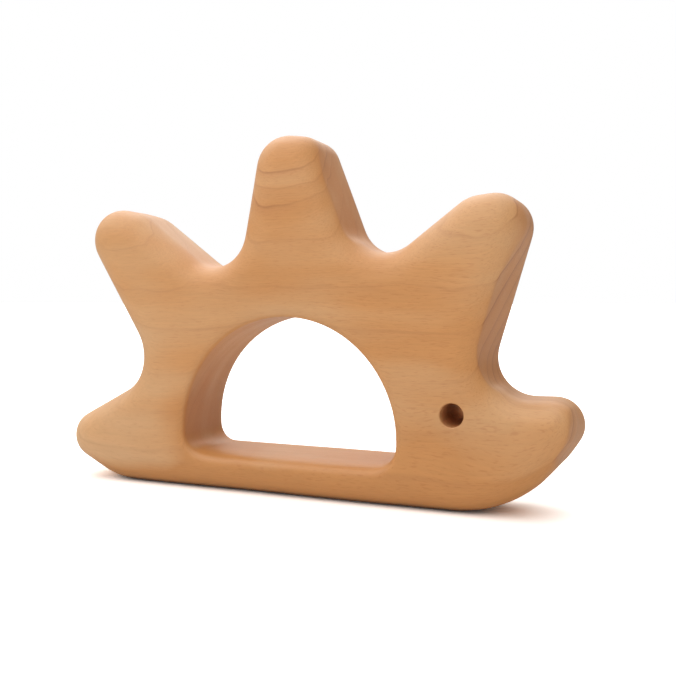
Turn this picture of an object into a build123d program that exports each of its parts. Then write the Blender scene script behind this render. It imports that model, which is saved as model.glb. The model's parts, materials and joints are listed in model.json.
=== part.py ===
"""Hedgehog grasping toy, sawn from one hardwood board and rounded over by hand.

Millimetres. Z is up, the nose points along +X and the board's thickness runs along Y.
The origin is on the table, under the middle of the overall box.
"""
import os
from dataclasses import dataclass
from math import acos, atan2, cos, hypot, pi, sin, sqrt

from build123d import *

os.makedirs("parts", exist_ok=True)

# Overall size of the sawn shape, mm
overall_length = 118.5
overall_height = 77.7
board_thickness = 18.0

# Round-over along the outer edges of both faces, mm
edge_round = 5.2

# Corner radii that the round-over leaves on the flat faces at the tips, mm
tail_tip_land = 0.6
nose_tip_land = 0.4
left_spine_back_land = 1.9
left_spine_front_land = 4.3
top_spine_back_land = 2.1
top_spine_front_land = 0.3
right_spine_back_land = 2.2
right_spine_front_land = 1.1

# Radii of the belly, chin and breast, mm
tail_belly_radius = 19.0
chin_radius = 12.1
breast_radius = 26.2

# Straight cuts that join the belly to the tail's tip and the breast to the chin, mm
tail_belly_cut = 6.3
breast_cut = 4.0

# How far the chin's centre stands behind the nose's end, as a share of the chin's radius
chin_setback_share = 1.034

# Radii of the hollows between tail, spines and nose, mm
rump_hollow_radius = 9.0
left_hollow_radius = 8.1
right_hollow_radius = 8.5
brow_hollow_radius = 7.7

# Places of the rounds along X, as shares of half the overall length
rump_hollow_depth_x_share = -0.659
left_spine_back_x_share = -0.770
left_spine_front_x_share = -0.731
left_hollow_x_share = -0.338
top_spine_back_x_share = -0.035
top_spine_front_x_share = 0.017
right_hollow_x_share = 0.343
right_spine_back_x_share = 0.675
right_spine_front_x_share = 0.715
brow_hollow_x_share = 0.836

# Heights of the rounds, as shares of the overall height
tail_tip_middle_z_share = 0.128
rump_hollow_middle_z_share = 0.379
left_spine_back_top_z_share = 0.8185
left_spine_front_top_z_share = 0.8095
left_hollow_floor_z_share = 0.6415
top_spine_front_top_z_share = 0.9945
right_hollow_floor_z_share = 0.6715
right_spine_back_top_z_share = 0.8105
right_spine_front_top_z_share = 0.8135
brow_hollow_floor_z_share = 0.297
nose_tip_top_z_share = 0.298
chin_floor_z_share = 0.087

# Hand window: a half-round arch on short straight sides, mm
window_width = 49.8
window_side_height = 5.2
window_sill = 8.7
window_offset = -1.3
window_corner_radius = 4.1
window_edge_round = 1.2

# Eye, drilled right through, with a lightly sanded rim, mm
eye_diameter = 4.8
eye_rim_round = 0.3
eye_x_share = 0.596
eye_z_share = 0.256

# Cuts run past both faces by this much, mm
overrun = 1.0

# Ways along X
forward = 1
backward = -1

half_length = overall_length / 2
half_thickness = board_thickness / 2

# Radii of the sawn tips before the round-over
tail_tip_radius = edge_round + tail_tip_land
nose_tip_radius = edge_round + nose_tip_land
left_spine_back_radius = edge_round + left_spine_back_land
left_spine_front_radius = edge_round + left_spine_front_land
top_spine_back_radius = edge_round + top_spine_back_land
top_spine_front_radius = edge_round + top_spine_front_land
right_spine_back_radius = edge_round + right_spine_back_land
right_spine_front_radius = edge_round + right_spine_front_land


@dataclass(frozen=True)
class Round:
    """One arc of the sawn outline, followed clockwise as seen from the front."""

    x: float
    z: float
    radius: float
    hollow: bool = False

    @property
    def turn(self) -> float:
        """Radius with its side: positive for a bulge, negative for a hollow."""
        return -self.radius if self.hollow else self.radius

    def point(self, angle: float) -> tuple[float, float]:
        """Place on the outline where the outward normal has this angle."""
        return (self.x + self.turn * cos(angle), self.z + self.turn * sin(angle))

    def middle(self, first: float, last: float) -> float:
        """Angle halfway along the arc between two outward normals."""
        if self.hollow:
            return first + ((last - first) % (2 * pi)) / 2
        return first - ((first - last) % (2 * pi)) / 2


def bulge(x: float, top: float, radius: float) -> Round:
    """A bulge given by the height of its top."""
    return Round(x, top - radius, radius)


def hollow(x: float, floor: float, radius: float) -> Round:
    """A hollow given by the height of its floor."""
    return Round(x, floor + radius, radius, True)


def resting(raised: Round, radius: float, cut: float, way: int) -> Round:
    """A bulge on the table, joined to a raised round by a straight cut of this length."""
    reach = sqrt((radius - raised.radius) ** 2 + cut**2 - (radius - raised.z) ** 2)
    return Round(raised.x + way * reach, radius, radius)


def normal_angle(first: Round, second: Round) -> float:
    """Angle of the outward normal of the straight cut that joins two rounds."""
    along = second.x - first.x
    up = second.z - first.z
    return atan2(up, along) + acos((first.turn - second.turn) / hypot(along, up))


tail_tip = Round(
    tail_tip_radius - half_length,
    tail_tip_middle_z_share * overall_height,
    tail_tip_radius,
)
tail_belly = resting(tail_tip, tail_belly_radius, tail_belly_cut, forward)
rump_hollow = Round(
    rump_hollow_depth_x_share * half_length - rump_hollow_radius,
    rump_hollow_middle_z_share * overall_height,
    rump_hollow_radius,
    True,
)
left_spine_back = bulge(
    left_spine_back_x_share * half_length,
    left_spine_back_top_z_share * overall_height,
    left_spine_back_radius,
)
left_spine_front = bulge(
    left_spine_front_x_share * half_length,
    left_spine_front_top_z_share * overall_height,
    left_spine_front_radius,
)
left_hollow = hollow(
    left_hollow_x_share * half_length,
    left_hollow_floor_z_share * overall_height,
    left_hollow_radius,
)
top_spine_back = bulge(
    top_spine_back_x_share * half_length,
    overall_height,
    top_spine_back_radius,
)
top_spine_front = bulge(
    top_spine_front_x_share * half_length,
    top_spine_front_top_z_share * overall_height,
    top_spine_front_radius,
)
right_hollow = hollow(
    right_hollow_x_share * half_length,
    right_hollow_floor_z_share * overall_height,
    right_hollow_radius,
)
right_spine_back = bulge(
    right_spine_back_x_share * half_length,
    right_spine_back_top_z_share * overall_height,
    right_spine_back_radius,
)
right_spine_front = bulge(
    right_spine_front_x_share * half_length,
    right_spine_front_top_z_share * overall_height,
    right_spine_front_radius,
)
brow_hollow = hollow(
    brow_hollow_x_share * half_length,
    brow_hollow_floor_z_share * overall_height,
    brow_hollow_radius,
)
nose_tip = bulge(
    half_length - nose_tip_radius,
    nose_tip_top_z_share * overall_height,
    nose_tip_radius,
)
chin = Round(
    half_length - chin_setback_share * chin_radius,
    chin_floor_z_share * overall_height + chin_radius,
    chin_radius,
)
breast = resting(chin, breast_radius, breast_cut, backward)

# The outline goes clockwise from the belly under the tail to the breast under the nose
rounds = [
    tail_belly,
    tail_tip,
    rump_hollow,
    left_spine_back,
    left_spine_front,
    left_hollow,
    top_spine_back,
    top_spine_front,
    right_hollow,
    right_spine_back,
    right_spine_front,
    brow_hollow,
    nose_tip,
    chin,
    breast,
]
following = rounds[1:] + rounds[:1]
leaving = [normal_angle(one, two) for one, two in zip(rounds, following)]
arriving = leaving[-1:] + leaving[:-1]

window_left = window_offset - window_width / 2
window_right = window_offset + window_width / 2
window_spring = window_sill + window_side_height
window_crown = window_spring + window_width / 2
eye_x = eye_x_share * half_length
eye_z = eye_z_share * overall_height


def on_face(edge: Edge) -> bool:
    """True for an edge that lies wholly in one of the two flat faces."""
    return edge.bounding_box().size.Y < eye_rim_round / 2


with BuildPart() as hedgehog_body:
    # The outline is sawn from the board
    with BuildSketch(Plane.XZ) as outline:
        with BuildLine():
            for each, begin, end in zip(rounds, arriving, leaving):
                halfway = each.middle(begin, end)
                ThreePointArc(each.point(begin), each.point(halfway), each.point(end))
            for one, two, angle in zip(rounds, following, leaving):
                Line(one.point(angle), two.point(angle))
        make_face()
    extrude(amount=half_thickness, both=True)

    # Both outer edges are rounded over
    fillet(hedgehog_body.edges().filter_by(on_face), radius=edge_round)

    # The hand window is cut through the belly
    with BuildSketch(Plane.XZ) as window:
        with BuildLine():
            ThreePointArc(
                (window_left, window_spring),
                (window_offset, window_crown),
                (window_right, window_spring),
            )
            FilletPolyline(
                (window_right, window_spring),
                (window_right, window_sill),
                (window_left, window_sill),
                (window_left, window_spring),
                radius=window_corner_radius,
            )
        make_face()
    extrude(amount=half_thickness + overrun, both=True, mode=Mode.SUBTRACT)
    fillet(hedgehog_body.edges(Select.LAST).filter_by(on_face), radius=window_edge_round)

    # The eye is drilled
    with BuildSketch(Plane.XZ) as eye:
        with Locations((eye_x, eye_z)):
            Circle(eye_diameter / 2)
    extrude(amount=half_thickness + overrun, both=True, mode=Mode.SUBTRACT)
    fillet(hedgehog_body.edges(Select.LAST).filter_by(on_face), radius=eye_rim_round)

hedgehog_body.part.label = "hedgehog_body"
export_step(hedgehog_body.part, "parts/hedgehog_body.step")
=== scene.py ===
"""Looks of the hedgehog grasping toy: one sanded and oiled alder board on a white sweep.

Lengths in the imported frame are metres. Sizes below are written in millimetres and turned to metres
where they meet the frame.
"""
import json
import logging
from dataclasses import dataclass, field
from enum import Enum
from math import cos, pi, radians, sin

import bmesh
import bpy
import numpy as np
from mathutils import Matrix, Vector, noise


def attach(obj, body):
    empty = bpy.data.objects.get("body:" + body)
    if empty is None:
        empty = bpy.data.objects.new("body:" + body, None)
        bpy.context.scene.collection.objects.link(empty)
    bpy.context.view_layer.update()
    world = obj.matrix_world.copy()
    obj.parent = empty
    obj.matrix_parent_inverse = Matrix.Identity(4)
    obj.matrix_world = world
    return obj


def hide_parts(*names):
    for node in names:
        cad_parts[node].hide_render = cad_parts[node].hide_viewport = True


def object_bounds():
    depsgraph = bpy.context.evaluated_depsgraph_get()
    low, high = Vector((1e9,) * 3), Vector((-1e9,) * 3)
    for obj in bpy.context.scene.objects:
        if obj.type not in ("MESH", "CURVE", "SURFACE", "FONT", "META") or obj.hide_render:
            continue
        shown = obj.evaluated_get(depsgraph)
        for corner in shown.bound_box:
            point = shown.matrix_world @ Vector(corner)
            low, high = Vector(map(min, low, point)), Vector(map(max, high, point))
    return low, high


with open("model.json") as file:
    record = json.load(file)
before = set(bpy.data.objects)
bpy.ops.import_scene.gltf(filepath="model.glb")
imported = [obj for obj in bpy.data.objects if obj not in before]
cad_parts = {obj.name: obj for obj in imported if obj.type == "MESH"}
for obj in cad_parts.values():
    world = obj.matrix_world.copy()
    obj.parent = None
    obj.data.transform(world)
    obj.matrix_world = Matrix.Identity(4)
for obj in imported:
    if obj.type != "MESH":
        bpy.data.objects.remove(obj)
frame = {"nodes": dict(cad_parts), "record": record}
CAD_LOW, CAD_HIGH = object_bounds()

LOG = logging.getLogger("hedgehog")
MM = 0.001
TINY = 1e-6  # keeps a division off zero
IMAGE_PIXELS = 676

Colour = tuple[float, float, float, float]
Socket = bpy.types.NodeSocket
Tree = bpy.types.NodeTree


def linear(colour: str, gain: float = 1.0) -> Colour:
    """Turns an sRGB hex colour to linear light.

    Args:
        colour: Colour as "#RRGGBB".
        gain: Factor on the light.

    Returns:
        Linear red, green, blue and an alpha of 1.
    """
    # The numbers below are those of the sRGB standard
    shares = [int(colour[i:i + 2], 16) / 255 for i in (1, 3, 5)]
    red, green, blue = [s / 12.92 if s <= 0.04045 else ((s + 0.055) / 1.055) ** 2.4 for s in shares]
    return red * gain, green * gain, blue * gain, 1.0


def add_node(
    tree: Tree, kind: str, inputs: dict[str | int, object] | None = None, **settings: object
) -> bpy.types.Node:
    """Adds one node with its settings and links.

    Args:
        tree: Node tree that takes the node.
        kind: Blender's node type.
        inputs: Sockets by name or place, each with a value or the output that feeds it.
        settings: Properties of the node itself.

    Returns:
        The new node.
    """
    made = tree.nodes.new(kind)
    for name, value in settings.items():
        setattr(made, name, value)
    for key, value in (inputs or {}).items():
        if isinstance(value, Socket):
            tree.links.new(value, made.inputs[key])
        else:
            made.inputs[key].default_value = value
    return made


def new_tree(material: bpy.types.Material) -> Tree:
    """Clears a material's nodes and returns its tree."""
    material.use_nodes = True
    material.node_tree.nodes.clear()
    return material.node_tree


def ease(distance: np.ndarray, reach: float) -> np.ndarray:
    """Rises smoothly from 0 at no distance to 1 at the reach and beyond.

    Args:
        distance: Distances, none of them negative.
        reach: Distance at which the rise is over.

    Returns:
        Shares from 0 to 1.
    """
    share = np.clip(distance / reach, 0.0, 1.0)
    return share * share * (3.0 - 2.0 * share)


@dataclass(frozen=True)
class Ramp:
    """A straight change of one value with another, level before its low and past its high."""

    low: float
    high: float
    start: float = 0.0
    end: float = 1.0

    def sockets(self, value: Socket) -> dict[str | int, object]:
        """Inputs of a map-range node that takes a value along this ramp."""
        return {0: value, 1: self.low, 2: self.high, 3: self.start, 4: self.end}


@dataclass(frozen=True)
class Grain:
    """Size of a noise pattern along and across the grain, and its octaves of finer noise."""

    length_mm: float
    width_mm: float
    octaves: float


@dataclass(frozen=True)
class GrowthLine:
    """One year's dark latewood line: its distance from the pith and how dark it is."""

    radius_mm: float
    depth: float


@dataclass(frozen=True)
class TonePatch:
    """A warmer patch in the ground colour, or a paler one where its depth is below zero."""

    x_mm: float
    z_mm: float
    reach_mm: float
    depth: float


@dataclass(frozen=True)
class OiledAlder:
    """Flat-sawn alder, rounded over, sanded fine and oiled.

    The eye sees a warm honey ground in soft bands, paler at the tail and warmer at the foot, and a few
    thin wavy growth lines that turn up round the edges that face the nose and darken there. Fine short
    flecks run along the board. Edges that face the nose are a little darker, partly end grain and partly
    painted shade on the side away from the light. The foot's lowest edge is dark with painted contact
    shade, and the oil leaves a soft satin sheen. Fibres are drawn several times coarser than real
    alder's, because finer ones would not show.
    """

    name: str = "oiled_alder"
    honey: str = "#D9AA79"
    amber: str = "#CC8D4F"
    latewood: str = "#98542A"
    fleck: str = "#A8581F"
    # End grain and painted shade: darker colour on the nose-facing side only, the side away from the light
    end_grain_and_shade: str = "#B87848"
    # Painted contact shade along the foot's lowest edge
    foot_contact_shade: str = "#552808"

    # The trunk's pith, and how uneven its rings are
    pith_y_mm: float = 107.0
    pith_z_mm: float = -27.0
    wave: Grain = Grain(52.0, 15.0, 2.0)
    wave_height_mm: float = 3.0
    ripple: Grain = Grain(9.0, 4.0, 1.0)
    ripple_height_mm: float = 2.0

    # Ground colour: shares of amber, and factors on the brightness
    band: Grain = Grain(85.0, 6.5, 2.0)
    band_tone: Ramp = Ramp(0.35, 0.65, 0.3, 0.9)
    mottle: Grain = Grain(34.0, 15.0, 2.0)
    mottle_tone: Ramp = Ramp(0.3, 0.7, -0.3, 0.3)
    mottle_value: Ramp = Ramp(0.25, 0.75, 0.95, 1.05)
    tail_tone_by_x_mm: Ramp = Ramp(-60.0, 15.0, -0.6, 0.3)
    foot_tone_by_z_mm: Ramp = Ramp(2.5, 6.0, 0.8, 0.0)
    tone_patches: tuple[TonePatch, ...] = (
        TonePatch(-1.0, 57.0, 14.0, 0.25),
        TonePatch(-8.0, 45.0, 20.0, 0.15),
        TonePatch(42.0, 33.0, 12.0, 0.5),
        TonePatch(41.0, 56.0, 16.0, -0.1),
        TonePatch(30.0, 9.0, 20.0, 0.45),
        TonePatch(52.0, 17.0, 11.0, -0.1),
        TonePatch(-26.0, 16.0, 9.0, 0.6),
        TonePatch(-19.0, 6.0, 13.0, 1.0),
    )
    fibre: Grain = Grain(7.0, 0.2, 3.0)
    fibre_value: Ramp = Ramp(0.25, 0.75, 0.955, 1.045)

    # Marks on the ground: shares of their colours
    speck: Grain = Grain(1.8, 0.10, 1.0)
    speck_edge: Ramp = Ramp(0.56, 0.72)
    fleck_depth_by_x_mm: Ramp = Ramp(-55.0, 15.0, 0.10, 0.24)
    # Share on edges that face the nose: end grain plus painted shade
    end_grain_and_shade_by_facing: Ramp = Ramp(0.6, 0.95, 0.0, 0.36)
    # Painted contact shade: full at the foot's lowest edge, gone by 1.5 mm up
    contact_shade_by_z_mm: Ramp = Ramp(0.5, 1.5, 0.65, 0.0)

    # Growth lines: a soft lead, a quick rise and a quicker fall, deeper where they face the nose
    line_lead_mm: float = 1.8
    line_rise_mm: float = 0.26
    line_fall_mm: float = 0.20
    lead_share: float = 0.30
    deepest_line: float = 0.7
    fade: Grain = Grain(15.0, 4.0, 1.0)
    fade_depth: Ramp = Ramp(0.38, 0.62, 0.4, 1.0)
    turned_by_facing: Ramp = Ramp(0.45, 0.85, 0.0, 3.0)
    turned_by_x_mm: Ramp = Ramp(12.0, 26.0)
    belly_lines: tuple[GrowthLine, ...] = (
        GrowthLine(118.4, 0.10),
        GrowthLine(121.1, 0.16),
        GrowthLine(123.7, 0.12),
        GrowthLine(127.6, 0.14),
        GrowthLine(132.0, 0.2),
    )
    spine_lines: tuple[GrowthLine, ...] = (
        GrowthLine(136.5, 0.2),
        GrowthLine(141.9, 0.2),
        GrowthLine(146.7, 0.5),
        GrowthLine(148.6, 0.55),
        GrowthLine(151.2, 0.55),
    )

    # Oiled surface
    fibre_roughness: Ramp = Ramp(0.2, 0.8, 0.52, 0.42)
    relief_mm: float = 0.05
    relief_strength: float = 0.3
    ior: float = 1.47
    specular_level: float = 0.7
    sheen: float = 0.04
    sheen_roughness: float = 0.4

    def make(self) -> bpy.types.Material:
        """Builds the material.

        Returns:
            The wood, solid through the board, so that its lines turn round the edges.
        """
        material = bpy.data.materials.new(self.name)
        tree = new_tree(material)
        source = add_node(tree, "ShaderNodeTexCoord")
        board = add_node(
            tree, "ShaderNodeVectorMath", {0: source.outputs["Object"], "Scale": 1 / MM}, operation="SCALE"
        ).outputs["Vector"]
        facing = add_node(tree, "ShaderNodeSeparateXYZ", {0: source.outputs["Normal"]}).outputs["X"]
        height = add_node(tree, "ShaderNodeSeparateXYZ", {0: board}).outputs["Z"]
        trunk = self.trunk_place(tree, board)
        fibres = self.grain(tree, trunk, self.fibre)
        flecks = self.fleck_depth(tree, board, trunk)
        # Edges that face the nose: end grain darkening plus painted shade
        ends = add_node(tree, "ShaderNodeMapRange", self.end_grain_and_shade_by_facing.sockets(facing)).outputs[0]
        lines = self.line_depth(tree, board, trunk, facing)
        # Share of painted contact shade along the foot
        contact_shade = add_node(tree, "ShaderNodeMapRange", self.contact_shade_by_z_mm.sockets(height)).outputs[0]

        colour = self.ground(tree, board, trunk, fibres)
        for share, mark in (
            (flecks, self.fleck),
            # End grain plus painted shade on the nose-facing edges
            (ends, self.end_grain_and_shade),
            (lines, self.latewood),
            # Painted contact shade at the foot
            (contact_shade, self.foot_contact_shade),
        ):
            colour = add_node(
                tree, "ShaderNodeMix", {0: share, 6: colour, 7: linear(mark)}, data_type="RGBA"
            ).outputs[2]

        roughness = add_node(tree, "ShaderNodeMapRange", self.fibre_roughness.sockets(fibres)).outputs[0]
        relief = add_node(tree, "ShaderNodeMath", {0: fibres, 1: flecks}, operation="SUBTRACT").outputs[0]
        bump = add_node(
            tree, "ShaderNodeBump",
            {"Strength": self.relief_strength, "Distance": self.relief_mm * MM, "Height": relief},
        )
        shader = add_node(
            tree, "ShaderNodeBsdfPrincipled",
            {"Base Color": colour, "Roughness": roughness, "IOR": self.ior,
             "Specular IOR Level": self.specular_level, "Sheen Weight": self.sheen,
             "Sheen Roughness": self.sheen_roughness, "Normal": bump.outputs[0]},
        )
        add_node(tree, "ShaderNodeOutputMaterial", {"Surface": shader.outputs[0]})
        return material

    def ground(self, tree: Tree, board: Socket, trunk: Socket, fibres: Socket) -> Socket:
        """Ground colour of the wood: honey to amber in bands and patches, streaked by its fibres.

        Args:
            tree: Material's tree.
            board: Place in the board, in millimetres.
            trunk: Place in the trunk, in millimetres.
            fibres: Noise of the fibres.

        Returns:
            The colour before any marks.
        """
        bands = self.grain(tree, trunk, self.band)
        mottle = self.grain(tree, board, self.mottle)
        toned = add_node(tree, "ShaderNodeMapRange", self.band_tone.sockets(bands)).outputs[0]
        patchy = add_node(tree, "ShaderNodeMapRange", self.mottle_tone.sockets(mottle)).outputs[0]
        for added in (patchy, *self.tones(tree, board)):
            toned = add_node(tree, "ShaderNodeMath", {0: toned, 1: added}, operation="ADD").outputs[0]
        toned = add_node(tree, "ShaderNodeClamp", {"Value": toned}).outputs[0]
        mixed = add_node(
            tree, "ShaderNodeMix", {0: toned, 6: linear(self.honey), 7: linear(self.amber)}, data_type="RGBA"
        ).outputs[2]
        streak = add_node(tree, "ShaderNodeMapRange", self.fibre_value.sockets(fibres)).outputs[0]
        cloud = add_node(tree, "ShaderNodeMapRange", self.mottle_value.sockets(mottle)).outputs[0]
        value = add_node(tree, "ShaderNodeMath", {0: streak, 1: cloud}, operation="MULTIPLY").outputs[0]
        return add_node(tree, "ShaderNodeHueSaturation", {"Value": value, "Color": mixed}).outputs["Color"]

    def tones(self, tree: Tree, board: Socket) -> list[Socket]:
        """How the ground warms along the board: paler at the tail, warmer at the foot, and in patches.

        Args:
            tree: Material's tree.
            board: Place in the board, in millimetres.

        Returns:
            Shares that add to the warm tone, or take from it.
        """
        parts = add_node(tree, "ShaderNodeSeparateXYZ", {0: board})
        tail = add_node(tree, "ShaderNodeMapRange", self.tail_tone_by_x_mm.sockets(parts.outputs["X"]))
        foot = add_node(tree, "ShaderNodeMapRange", self.foot_tone_by_z_mm.sockets(parts.outputs["Z"]))
        added = [tail.outputs[0], foot.outputs[0]]
        flat = add_node(
            tree, "ShaderNodeVectorMath", {0: board, 1: (1.0, 0.0, 1.0)}, operation="MULTIPLY"
        ).outputs[0]
        for patch in self.tone_patches:
            middle = (patch.x_mm, 0.0, patch.z_mm)
            away = add_node(
                tree, "ShaderNodeVectorMath", {0: flat, 1: middle}, operation="DISTANCE"
            ).outputs["Value"]
            fading = Ramp(0.0, patch.reach_mm, patch.depth, 0.0)
            warmth = add_node(
                tree, "ShaderNodeMapRange", fading.sockets(away), interpolation_type="SMOOTHSTEP"
            )
            added.append(warmth.outputs[0])
        return added

    def fleck_depth(self, tree: Tree, board: Socket, trunk: Socket) -> Socket:
        """Depth of the short flecks, which are faint at the tail and plainer towards the nose.

        Args:
            tree: Material's tree.
            board: Place in the board, in millimetres.
            trunk: Place in the trunk, in millimetres.

        Returns:
            Share of the fleck colour.
        """
        specks = self.grain(tree, trunk, self.speck)
        along = add_node(tree, "ShaderNodeSeparateXYZ", {0: board}).outputs["X"]
        deepest = add_node(tree, "ShaderNodeMapRange", self.fleck_depth_by_x_mm.sockets(along)).outputs[0]
        edges = self.speck_edge.sockets(specks) | {4: deepest}
        return add_node(tree, "ShaderNodeMapRange", edges).outputs[0]

    def grain(self, tree: Tree, place: Socket, pattern: Grain) -> Socket:
        """Noise drawn out along the board.

        Args:
            tree: Material's tree.
            place: Place in the board or the trunk, in millimetres.
            pattern: Size of the noise along and across the grain.

        Returns:
            The noise, around one half.
        """
        per_mm = (1 / pattern.length_mm, 1 / pattern.width_mm, 1 / pattern.width_mm)
        drawn = add_node(tree, "ShaderNodeVectorMath", {0: place, 1: per_mm}, operation="MULTIPLY")
        return add_node(
            tree, "ShaderNodeTexNoise", {"Vector": drawn.outputs[0], "Scale": 1.0, "Detail": pattern.octaves}
        ).outputs["Fac"]

    def trunk_place(self, tree: Tree, board: Socket) -> Socket:
        """Place in the tree that the board was sawn from, with its rings in slow waves.

        Args:
            tree: Material's tree.
            board: Place in the board, in millimetres.

        Returns:
            Millimetres along the trunk, out from its pith, and across the board.
        """
        wave = self.grain(tree, board, self.wave)
        parts = add_node(tree, "ShaderNodeSeparateXYZ", {0: board})
        pith = (0.0, self.pith_y_mm, self.pith_z_mm)
        from_pith = add_node(tree, "ShaderNodeVectorMath", {0: board, 1: pith}, operation="SUBTRACT")
        across = add_node(
            tree, "ShaderNodeVectorMath", {0: from_pith.outputs[0], 1: (0.0, 1.0, 1.0)}, operation="MULTIPLY"
        )
        radius = add_node(
            tree, "ShaderNodeVectorMath", {0: across.outputs[0]}, operation="LENGTH"
        ).outputs["Value"]
        waved = add_node(
            tree, "ShaderNodeMath", {0: wave, 1: self.wave_height_mm, 2: radius}, operation="MULTIPLY_ADD"
        ).outputs[0]
        return add_node(
            tree, "ShaderNodeCombineXYZ", {0: parts.outputs["X"], 1: waved, 2: parts.outputs["Y"]}
        ).outputs[0]

    def line_depth(self, tree: Tree, board: Socket, trunk: Socket, facing: Socket) -> Socket:
        """Depth of the growth lines, which come and go along the board and deepen where they face the nose.

        The lines of the spines ripple as well.

        Args:
            tree: Material's tree.
            board: Place in the board, in millimetres.
            trunk: Place in the trunk, in millimetres.
            facing: How far the surface faces the nose.

        Returns:
            Share of latewood colour.
        """
        ahead = add_node(tree, "ShaderNodeSeparateXYZ", {0: board}).outputs["X"]
        steep = add_node(tree, "ShaderNodeMapRange", self.turned_by_facing.sockets(facing)).outputs[0]
        nearer = add_node(tree, "ShaderNodeMapRange", self.turned_by_x_mm.sockets(ahead)).outputs[0]
        turned = add_node(tree, "ShaderNodeMath", {0: steep, 1: nearer}, operation="MULTIPLY").outputs[0]

        radius = add_node(tree, "ShaderNodeSeparateXYZ", {0: trunk}).outputs["Y"]
        ripple = self.grain(tree, board, self.ripple)
        rippled = add_node(
            tree, "ShaderNodeMath", {0: ripple, 1: self.ripple_height_mm, 2: radius},
            operation="MULTIPLY_ADD",
        ).outputs[0]
        drift = self.wave_height_mm / 2
        lower = self.ring_set(tree, radius, self.belly_lines, drift)
        upper = self.ring_set(tree, rippled, self.spine_lines, drift + self.ripple_height_mm / 2)
        both = add_node(tree, "ShaderNodeMath", {0: lower, 1: upper}, operation="MAXIMUM").outputs[0]

        along = self.grain(tree, trunk, self.fade)
        kept = add_node(tree, "ShaderNodeMapRange", self.fade_depth.sockets(along)).outputs[0]
        drawn = add_node(tree, "ShaderNodeMath", {0: kept, 1: turned}, operation="ADD").outputs[0]
        depth = add_node(tree, "ShaderNodeMath", {0: both, 1: drawn}, operation="MULTIPLY").outputs[0]
        limits = {0: depth, 1: self.deepest_line}
        return add_node(tree, "ShaderNodeMath", limits, operation="MINIMUM").outputs[0]

    def ring_set(
        self, tree: Tree, radius: Socket, lines: tuple[GrowthLine, ...], drift: float
    ) -> Socket:
        """Depth of some neighbouring growth lines: a soft lead, a quick rise and a quicker fall.

        Args:
            tree: Material's tree.
            radius: Distance from the pith, in millimetres.
            lines: Lines in rising order.
            drift: Mean of what the waves and ripples add to a ring's radius, in millimetres.

        Returns:
            Depth from 0 to 1.
        """
        first = lines[0].radius_mm - self.line_lead_mm
        last = lines[-1].radius_mm + self.line_fall_mm
        share = add_node(tree, "ShaderNodeMapRange", Ramp(first + drift, last + drift).sockets(radius))
        node = add_node(tree, "ShaderNodeValToRGB", {0: share.outputs[0]})
        stops = node.color_ramp.elements
        stops.remove(stops[-1])
        stops[0].color = (0.0, 0.0, 0.0, 1.0)
        for line in lines:
            for place_mm, depth in (
                (line.radius_mm - self.line_lead_mm, 0.0),
                (line.radius_mm - self.line_rise_mm, line.depth * self.lead_share),
                (line.radius_mm, line.depth),
                (line.radius_mm + self.line_fall_mm, 0.0),
            ):
                stops.new((place_mm - first) / (last - first)).color = (depth, depth, depth, 1.0)
        return node.outputs["Color"]


@dataclass(frozen=True)
class DrilledAlder:
    """Alder as a drill leaves it: bare and unoiled, with torn fibres in faint rings.

    The eye sees dull wood with hardly any gloss, so the bore goes dark as it runs in.
    """

    name: str = "drilled_alder"
    bare: str = "#D9A273"
    torn: str = "#C48A55"
    feed_mm: float = 0.6
    rings_per_mm: float = 0.3
    octaves: float = 2.0
    relief_mm: float = 0.05
    relief_strength: float = 0.4
    roughness: float = 0.9
    ior: float = 1.47
    specular_level: float = 0.1

    def make(self) -> bpy.types.Material:
        """Builds the material, with the rings that the bit's feed leaves round the bore.

        Returns:
            The bare wood of the bore.
        """
        material = bpy.data.materials.new(self.name)
        tree = new_tree(material)
        source = add_node(tree, "ShaderNodeTexCoord")
        per_m = (self.rings_per_mm / MM, 1 / (self.feed_mm * MM), self.rings_per_mm / MM)
        feed = add_node(
            tree, "ShaderNodeVectorMath", {0: source.outputs["Object"], 1: per_m}, operation="MULTIPLY"
        )
        rings = add_node(
            tree, "ShaderNodeTexNoise", {"Vector": feed.outputs[0], "Scale": 1.0, "Detail": self.octaves}
        ).outputs["Fac"]
        colour = add_node(
            tree, "ShaderNodeMix", {0: rings, 6: linear(self.bare), 7: linear(self.torn)}, data_type="RGBA"
        ).outputs[2]
        bump = add_node(
            tree, "ShaderNodeBump",
            {"Strength": self.relief_strength, "Distance": self.relief_mm * MM, "Height": rings},
        )
        shader = add_node(
            tree, "ShaderNodeBsdfPrincipled",
            {"Base Color": colour, "Roughness": self.roughness, "IOR": self.ior,
             "Specular IOR Level": self.specular_level, "Normal": bump.outputs[0]},
        )
        add_node(tree, "ShaderNodeOutputMaterial", {"Surface": shader.outputs[0]})
        return material


@dataclass(frozen=True)
class BeltFlat:
    """A flank that a belt sander flattened: its middle, its reach and how far its front leans back."""

    x_mm: float
    z_mm: float
    reach_mm: float
    lean_mm: float


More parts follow.
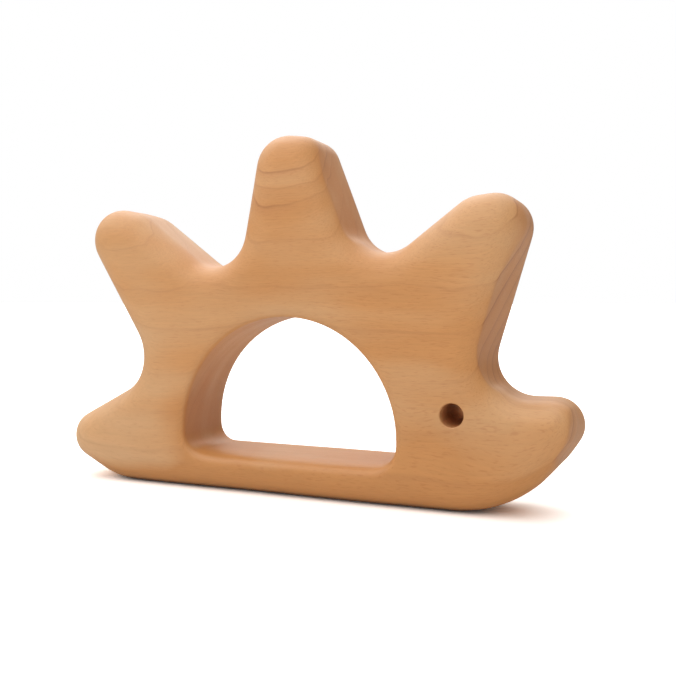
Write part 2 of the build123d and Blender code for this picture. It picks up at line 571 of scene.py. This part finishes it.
@dataclass
class HedgehogBody:
    """The toy itself: one board, sawn, rounded over, sanded by hand and drilled.

    Sanding wears the faces down towards the outer edges and leaves the sawn outline as it is. It reaches
    the window's rim less, apart from the front of the grip bar's top. A belt sander flattens the flanks
    that face the nose. The eye is drilled last, so its rim stays crisp.
    """

    solid: bpy.types.Object
    eye_x_mm: float
    eye_z_mm: float
    eye_radius_mm: float
    eye_rim_mm: float = 0.2
    eye_sides: int = 96
    plug_margin_mm: float = 0.6
    drill_overrun_mm: float = 1.0
    window_x_mm: float = -1.3
    window_radius_mm: float = 24.9
    window_spring_mm: float = 13.9
    window_sill_mm: float = 8.7
    window_wear: float = 0.12
    sill_wear: float = 0.8
    sill_fade_mm: float = 5.0
    sill_rounds: int = 500
    window_reach_mm: float = 4.0
    voxel_mm: float = 0.3
    scrape_rounds: int = 5
    sanding_rounds: int = 200
    stroke: float = 0.5
    edge_round_mm: float = 5.2
    belt_back_mm: float = 4.0
    belt_fade_share: float = 0.7
    belt_facing: tuple[float, float] = (0.6, 0.85)
    belt_rounds: int = 8
    belt_soft_share: float = 0.1
    belt_flats: tuple[BeltFlat, ...] = (
        BeltFlat(10.5, 63.0, 16.0, 0.9),
        BeltFlat(45.0, 38.0, 19.0, 1.9),
        BeltFlat(58.5, 14.0, 10.0, 1.6),
    )
    wander_mm: float = 0.12
    wander_length_mm: float = 22.0
    crease_deg: float = 30.0
    piece: bpy.types.Object | None = None

    def build(self) -> bpy.types.Object:
        """Makes the sanded and drilled body from the sawn solid.

        Returns:
            The body, in the solid's place.
        """
        sawn = self.solid.data.copy()
        sawn.materials.clear()
        body = bpy.data.objects.new("hedgehog_wood", sawn)
        bpy.context.scene.collection.objects.link(body)
        self.plug_eye(sawn)
        grid = body.modifiers.new("fine_grid", "REMESH")
        grid.mode = "VOXEL"
        grid.voxel_size = self.voxel_mm * MM
        fine = self.apply(body)
        self.sand(fine)
        self.belt(fine)
        self.wander(fine)
        drill = self.make_drill()
        cut = body.modifiers.new("eye", "BOOLEAN")
        cut.operation = "DIFFERENCE"
        cut.solver = "EXACT"
        cut.object = drill
        drilled = self.apply(body)
        bpy.data.objects.remove(drill)
        drilled.shade_smooth()
        drilled.set_sharp_from_angle(angle=radians(self.crease_deg))
        self.piece = body
        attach(body, "root")
        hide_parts(self.solid.name)
        return body

    def apply(self, body: bpy.types.Object) -> bpy.types.Mesh:
        """Applies an object's modifiers.

        Args:
            body: Object whose mesh is replaced.

        Returns:
            The new mesh.
        """
        shape = bpy.context.evaluated_depsgraph_get()
        mesh = bpy.data.meshes.new_from_object(body.evaluated_get(shape))
        body.modifiers.clear()
        body.data = mesh
        return mesh

    def turned(self, mesh: bmesh.types.BMesh, profile: list[tuple[float, float]]) -> None:
        """Adds a closed turned shape about the eye's axis.

        Args:
            mesh: Mesh that takes the shape.
            profile: Places along the axis and radii, in millimetres, from the front to the back.
        """
        rings = []
        for along, radius in profile:
            circle = []
            for step in range(self.eye_sides):
                angle = 2 * pi * step / self.eye_sides
                x = self.eye_x_mm + radius * cos(angle)
                z = self.eye_z_mm + radius * sin(angle)
                circle.append(mesh.verts.new(Vector((x, along, z)) * MM))
            rings.append(circle)
        made = [mesh.faces.new(rings[0]), mesh.faces.new(rings[-1])]
        for front, back in zip(rings, rings[1:]):
            for step in range(self.eye_sides):
                after = (step + 1) % self.eye_sides
                made.append(mesh.faces.new((front[step], front[after], back[after], back[step])))
        bmesh.ops.recalc_face_normals(mesh, faces=made)

    def plug_eye(self, mesh: bpy.types.Mesh) -> None:
        """Fills the eye, so that sanding runs over it evenly.

        Args:
            mesh: Mesh of the sawn solid.
        """
        front, back = CAD_LOW.y / MM, CAD_HIGH.y / MM
        radius = self.eye_radius_mm + self.plug_margin_mm
        filled = bmesh.new()
        filled.from_mesh(mesh)
        self.turned(filled, [(front, radius), (back, radius)])
        filled.to_mesh(mesh)
        filled.free()

    def make_drill(self) -> bpy.types.Object:
        """Makes the shape that cuts the eye, with a lightly broken rim at both faces.

        Returns:
            The cutting object.
        """
        front, back = CAD_LOW.y / MM, CAD_HIGH.y / MM
        bore, rim, run = self.eye_radius_mm, self.eye_rim_mm, self.drill_overrun_mm
        shape = bmesh.new()
        self.turned(
            shape,
            [
                (front - run, bore + rim + run),
                (front + rim, bore),
                (back - rim, bore),
                (back + run, bore + rim + run),
            ],
        )
        mesh = bpy.data.meshes.new("drill")
        shape.to_mesh(mesh)
        shape.free()
        drill = bpy.data.objects.new("drill", mesh)
        bpy.context.scene.collection.objects.link(drill)
        return drill

    def sand(self, mesh: bpy.types.Mesh) -> None:
        """Smooths the grid away everywhere, then wears the faces down towards the edges.

        Args:
            mesh: Mesh to smooth.
        """
        places = self.read(mesh, "co")
        ends = self.pairs(mesh)
        even = np.full(len(places), self.stroke)
        for axis in range(3):
            places[:, axis] = self.rub(places[:, axis], ends, even, self.scrape_rounds)
        worn = self.stroke * self.wear(places)
        places[:, 1] = self.rub(places[:, 1], ends, worn, self.sanding_rounds)
        front = ease(np.maximum(-places[:, 1] / MM, 0.0), self.sill_fade_mm)
        gripped = self.stroke * self.sill(places) * front
        places[:, 2] = self.rub(places[:, 2], ends, gripped, self.sill_rounds)
        self.write(mesh, places)

    def wear(self, places: np.ndarray) -> np.ndarray:
        """How hard each point is sanded: least at the window's rim.

        Args:
            places: Points, in metres.

        Returns:
            Shares from 0 to 1.
        """
        height = places[:, 2] / MM
        aside = np.abs(places[:, 0] / MM - self.window_x_mm)
        arch = np.hypot(aside, height - self.window_spring_mm) - self.window_radius_mm
        sides = np.maximum(aside - self.window_radius_mm, self.window_sill_mm - height)
        window = np.abs(np.where(height > self.window_spring_mm, arch, sides))
        least = self.window_wear + (self.sill_wear - self.window_wear) * self.sill(places)
        return least + (1 - least) * ease(window, self.window_reach_mm)

    def sill(self, places: np.ndarray) -> np.ndarray:
        """How near each point is to the top of the grip bar, which hands and sandpaper round most.

        Args:
            places: Points, in metres.

        Returns:
            Shares from 0 to 1.
        """
        off = np.abs(places[:, 2] / MM - self.window_sill_mm)
        inside = self.window_radius_mm - np.abs(places[:, 0] / MM - self.window_x_mm)
        along = ease(np.maximum(inside, 0.0), self.sill_fade_mm)
        return along * ease(np.maximum(self.sill_fade_mm - off, 0.0), self.sill_fade_mm)

    def belt(self, mesh: bpy.types.Mesh) -> None:
        """Flattens the flanks that face the nose, as a belt sander leaves them, leaning to the front.

        Args:
            mesh: Mesh to flatten.
        """
        places = self.read(mesh, "co") / MM
        ways = self.read(mesh, "normal")
        side = np.maximum(np.hypot(ways[:, 0], ways[:, 2]), TINY)
        facing = ways[:, 0] / side
        flat = CAD_HIGH.y / MM - self.edge_round_mm
        past = np.clip(np.abs(places[:, 1]) - flat, 0.0, self.edge_round_mm)
        rounded = self.edge_round_mm - np.sqrt(self.edge_round_mm ** 2 - past ** 2)
        lean = np.zeros(len(places))
        for one in self.belt_flats:
            away = np.hypot(places[:, 0] - one.x_mm, places[:, 2] - one.z_mm)
            within = np.maximum(one.reach_mm - away, 0.0)
            lean += one.lean_mm * ease(within, one.reach_mm * self.belt_fade_share)
        front = flat + np.sqrt(self.edge_round_mm ** 2 - (self.edge_round_mm - lean) ** 2)
        leant = lean * (self.belt_back_mm - places[:, 1]) / (self.belt_back_mm + front)
        low, high = self.belt_facing
        share = ease(np.maximum(facing - low, 0.0), high - low)
        depth = np.maximum(leant - rounded, 0.0) * share
        places[:, 0] -= depth * facing
        places[:, 2] -= depth * ways[:, 2] / side
        strokes = self.stroke * ease(lean, self.edge_round_mm * self.belt_soft_share)
        ends = self.pairs(mesh)
        for axis in range(3):
            places[:, axis] = self.rub(places[:, axis], ends, strokes, self.belt_rounds)
        self.write(mesh, places * MM)

    def rub(self, line: np.ndarray, ends: np.ndarray, strokes: np.ndarray, rounds: int) -> np.ndarray:
        """Draws each point towards the mean of its neighbours, round after round, along one axis.

        Args:
            line: One coordinate of the points.
            ends: Pairs of neighbouring points.
            strokes: Share of the way that each point goes in a round.
            rounds: Number of rounds.

        Returns:
            The moved coordinate.
        """
        one, two = ends.T
        count = len(line)
        neighbours = np.bincount(ends.ravel(), minlength=count)
        for _ in range(rounds):
            total = np.bincount(one, line[two], count) + np.bincount(two, line[one], count)
            line = line + strokes * (total / neighbours - line)
        return line

    def wander(self, mesh: bpy.types.Mesh) -> None:
        """Lets the surface wander by a hair, as hand sanding does, inside the sawn solid's box.

        Args:
            mesh: Mesh to move.
        """
        places = self.read(mesh, "co")
        ways = self.read(mesh, "normal")
        step = self.wander_length_mm * MM
        amount = np.array([noise.noise(Vector(p) / step) for p in places.tolist()])
        places += ways * (amount * self.wander_mm * MM)[:, None]
        self.write(mesh, np.clip(places, np.array(CAD_LOW), np.array(CAD_HIGH)))

    def read(self, mesh: bpy.types.Mesh, name: str) -> np.ndarray:
        """Reads a vector of every point.

        Args:
            mesh: Mesh to read.
            name: Name of the vector, such as "co".

        Returns:
            One row for each point.
        """
        flat = np.empty(len(mesh.vertices) * 3, np.float32)
        mesh.vertices.foreach_get(name, flat)
        return flat.reshape(-1, 3).astype(float)

    def pairs(self, mesh: bpy.types.Mesh) -> np.ndarray:
        """Reads which points are neighbours.

        Args:
            mesh: Mesh to read.

        Returns:
            The two points of each edge.
        """
        ends = np.empty(len(mesh.edges) * 2, np.int32)
        mesh.edges.foreach_get("vertices", ends)
        return ends.reshape(-1, 2)

    def write(self, mesh: bpy.types.Mesh, places: np.ndarray) -> None:
        """Moves every point of the mesh.

        Args:
            mesh: Mesh to change.
            places: One row for each point, in metres.
        """
        mesh.vertices.foreach_set("co", places.astype(np.float32).ravel())
        mesh.update()

    def dress(self) -> None:
        """Gives the body its oiled wood, and the eye's bore its bare wood."""
        mesh = self.piece.data
        mesh.materials.append(OiledAlder().make())
        mesh.materials.append(DrilledAlder().make())
        middles = np.empty(len(mesh.polygons) * 3, np.float32)
        mesh.polygons.foreach_get("center", middles)
        middles = middles.reshape(-1, 3) / MM
        from_axis = np.hypot(middles[:, 0] - self.eye_x_mm, middles[:, 2] - self.eye_z_mm)
        in_bore = from_axis < self.eye_radius_mm + self.eye_rim_mm / 4
        mesh.polygons.foreach_set("material_index", in_bore.astype(np.int32))


@dataclass(frozen=True)
class WhitePaper:
    """Matt white sweep paper: exposed to white where the light falls, and it keeps the toy's shadow."""

    name: str = "white_paper"
    paper: str = "#F7F6F4"
    exposure: float = 1.75
    in_sheen: float = 0.5

    def make(self) -> bpy.types.Material:
        """Builds the paper, brighter to the camera than to the toy, and dimmer in the toy's sheen.

        Returns:
            The paper material.
        """
        material = bpy.data.materials.new(self.name)
        tree = new_tree(material)
        ray = add_node(tree, "ShaderNodeLightPath")
        matt = add_node(tree, "ShaderNodeBsdfDiffuse", {"Color": linear(self.paper)})
        seen = add_node(tree, "ShaderNodeBsdfDiffuse", {"Color": linear(self.paper, self.exposure)})
        dim = add_node(tree, "ShaderNodeBsdfDiffuse", {"Color": linear(self.paper, self.in_sheen)})
        mixed = add_node(
            tree, "ShaderNodeMixShader",
            {0: ray.outputs["Is Camera Ray"], 1: matt.outputs[0], 2: seen.outputs[0]},
        )
        sheen = add_node(
            tree, "ShaderNodeMixShader",
            {0: ray.outputs["Is Glossy Ray"], 1: mixed.outputs[0], 2: dim.outputs[0]},
        )
        add_node(tree, "ShaderNodeOutputMaterial", {"Surface": sheen.outputs[0]})
        return material


class LampRole(Enum):
    """What each studio lamp does."""

    KEY = "key"
    RIM = "rim"


@dataclass(frozen=True)
class SoftSky:
    """A wide diffuser far above the toy, given by the way to it, its width as an angle and its light."""

    role: LampRole
    way: tuple[float, float, float]
    width_deg: float
    strength: float

    def build(self) -> bpy.types.Object:
        """Makes the lamp.

        Returns:
            The lamp's object.
        """
        data = bpy.data.lights.new(f"{self.role.value}_diffuser", "SUN")
        data.angle = radians(self.width_deg)
        data.energy = self.strength
        lamp = bpy.data.objects.new(data.name, data)
        lamp.rotation_euler = Vector(self.way).to_track_quat("Z", "Y").to_euler()
        bpy.context.scene.collection.objects.link(lamp)
        return lamp


@dataclass
class Studio:
    """White sweep, wide lamps and a dim even room.

    What the sheen shows of the room falls off to the right, behind a flag, and grows with height.
    """

    floor_mm: float = 40000.0
    white: str = "#FFFFFF"
    room_light: float = 0.27
    flag_by_x: Ramp = Ramp(-0.25, 0.12, 1.0, 0.4)
    sky_by_z: Ramp = Ramp(0.15, 0.6, 0.5, 1.6)
    paper: WhitePaper = field(default_factory=WhitePaper)
    lamps: tuple[SoftSky, ...] = (
        SoftSky(LampRole.KEY, (-0.26, -0.42, 0.87), 96.0, 2.03),
        SoftSky(LampRole.RIM, (-0.12, 0.50, 0.857), 70.0, 1.1),
    )

    def build(self) -> None:
        """Lays the floor, hangs the lamps and lights the room."""
        half = self.floor_mm / 2 * MM
        mesh = bpy.data.meshes.new("floor")
        corners = [(-half, -half, 0), (half, -half, 0), (half, half, 0), (-half, half, 0)]
        mesh.from_pydata(corners, [], [(0, 1, 2, 3)])
        floor = bpy.data.objects.new("floor", mesh)
        bpy.context.scene.collection.objects.link(floor)
        mesh.materials.append(self.paper.make())
        for lamp in self.lamps:
            lamp.build()
        self.light_room()

    def light_room(self) -> None:
        """Fills the room with even light, shows white behind the toy, and shades its sheen on the right."""
        world = bpy.data.worlds.new("white_room")
        bpy.context.scene.world = world
        world.use_nodes = True
        tree = world.node_tree
        tree.nodes.clear()
        ray = add_node(tree, "ShaderNodeLightPath")
        clear = add_node(
            tree, "ShaderNodeMath",
            {0: ray.outputs["Is Camera Ray"], 1: ray.outputs["Is Transmission Ray"]}, operation="MAXIMUM",
        ).outputs[0]
        way = add_node(tree, "ShaderNodeTexCoord").outputs["Generated"]
        parts = add_node(tree, "ShaderNodeSeparateXYZ", {0: way})
        aside = add_node(tree, "ShaderNodeMapRange", self.flag_by_x.sockets(parts.outputs["X"])).outputs[0]
        above = add_node(tree, "ShaderNodeMapRange", self.sky_by_z.sockets(parts.outputs["Z"])).outputs[0]
        sheen = add_node(tree, "ShaderNodeMath", {0: aside, 1: above}, operation="MULTIPLY").outputs[0]
        plain = linear(self.white)
        room = add_node(tree, "ShaderNodeBackground", {"Color": plain, "Strength": self.room_light})
        flagged = add_node(tree, "ShaderNodeBackground", {"Color": plain, "Strength": sheen})
        backdrop = add_node(tree, "ShaderNodeBackground", {"Color": plain, "Strength": 1.0})
        lit = add_node(
            tree, "ShaderNodeMixShader",
            {0: ray.outputs["Is Glossy Ray"], 1: room.outputs[0], 2: flagged.outputs[0]},
        )
        mixed = add_node(tree, "ShaderNodeMixShader", {0: clear, 1: lit.outputs[0], 2: backdrop.outputs[0]})
        add_node(tree, "ShaderNodeOutputWorld", {"Surface": mixed.outputs[0]})


@dataclass(frozen=True)
class PhotoCamera:
    """The photograph's viewpoint: to the right of the toy and just above its eye."""

    place_mm: tuple[float, float, float] = (74.14, -160.27, 41.87)
    turn_deg: float = 22.49
    pitch_deg: float = 2.54
    focal_pixels: float = 800.3
    sensor_mm: float = 36.0
    nearest_mm: float = 1.0
    farthest_mm: float = 100000.0

    def build(self) -> bpy.types.Object:
        """Makes the camera and hands it to the scene.

        Returns:
            The camera's object.
        """
        data = bpy.data.cameras.new("photo_camera")
        data.sensor_width = self.sensor_mm
        data.lens = self.focal_pixels / IMAGE_PIXELS * self.sensor_mm
        data.clip_start = self.nearest_mm * MM
        data.clip_end = self.farthest_mm * MM
        camera = bpy.data.objects.new(data.name, data)
        turn = Matrix.Rotation(radians(self.turn_deg), 4, "Z")
        tilt = Matrix.Rotation(radians(90 - self.pitch_deg), 4, "X")
        camera.matrix_world = Matrix.Translation(Vector(self.place_mm) * MM) @ turn @ tilt
        bpy.context.scene.collection.objects.link(camera)
        bpy.context.scene.camera = camera
        return camera


def find_eye() -> tuple[float, float, float]:
    """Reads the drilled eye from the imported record.

    Returns:
        Its place along the board, its height and its radius, in millimetres.
    """
    mounts = {mount["name"]: mount for mount in frame["record"]["mounts"]}
    eye = mounts["eye_bore"]
    return eye["pos_m"][0] / MM, eye["pos_m"][2] / MM, eye["dims"]["r_mm"]


def main() -> None:
    """Builds the toy, the studio and the camera."""
    logging.basicConfig(level=logging.INFO, format="%(name)s: %(message)s")
    bpy.context.scene.view_settings.view_transform = "Standard"
    body = HedgehogBody(frame["nodes"]["hedgehog_body"], *find_eye())
    piece = body.build()
    body.dress()
    LOG.info("%s: %d faces", piece.name, len(piece.data.polygons))
    Studio().build()
    PhotoCamera().build()


if __name__ == "__main__":
    main()
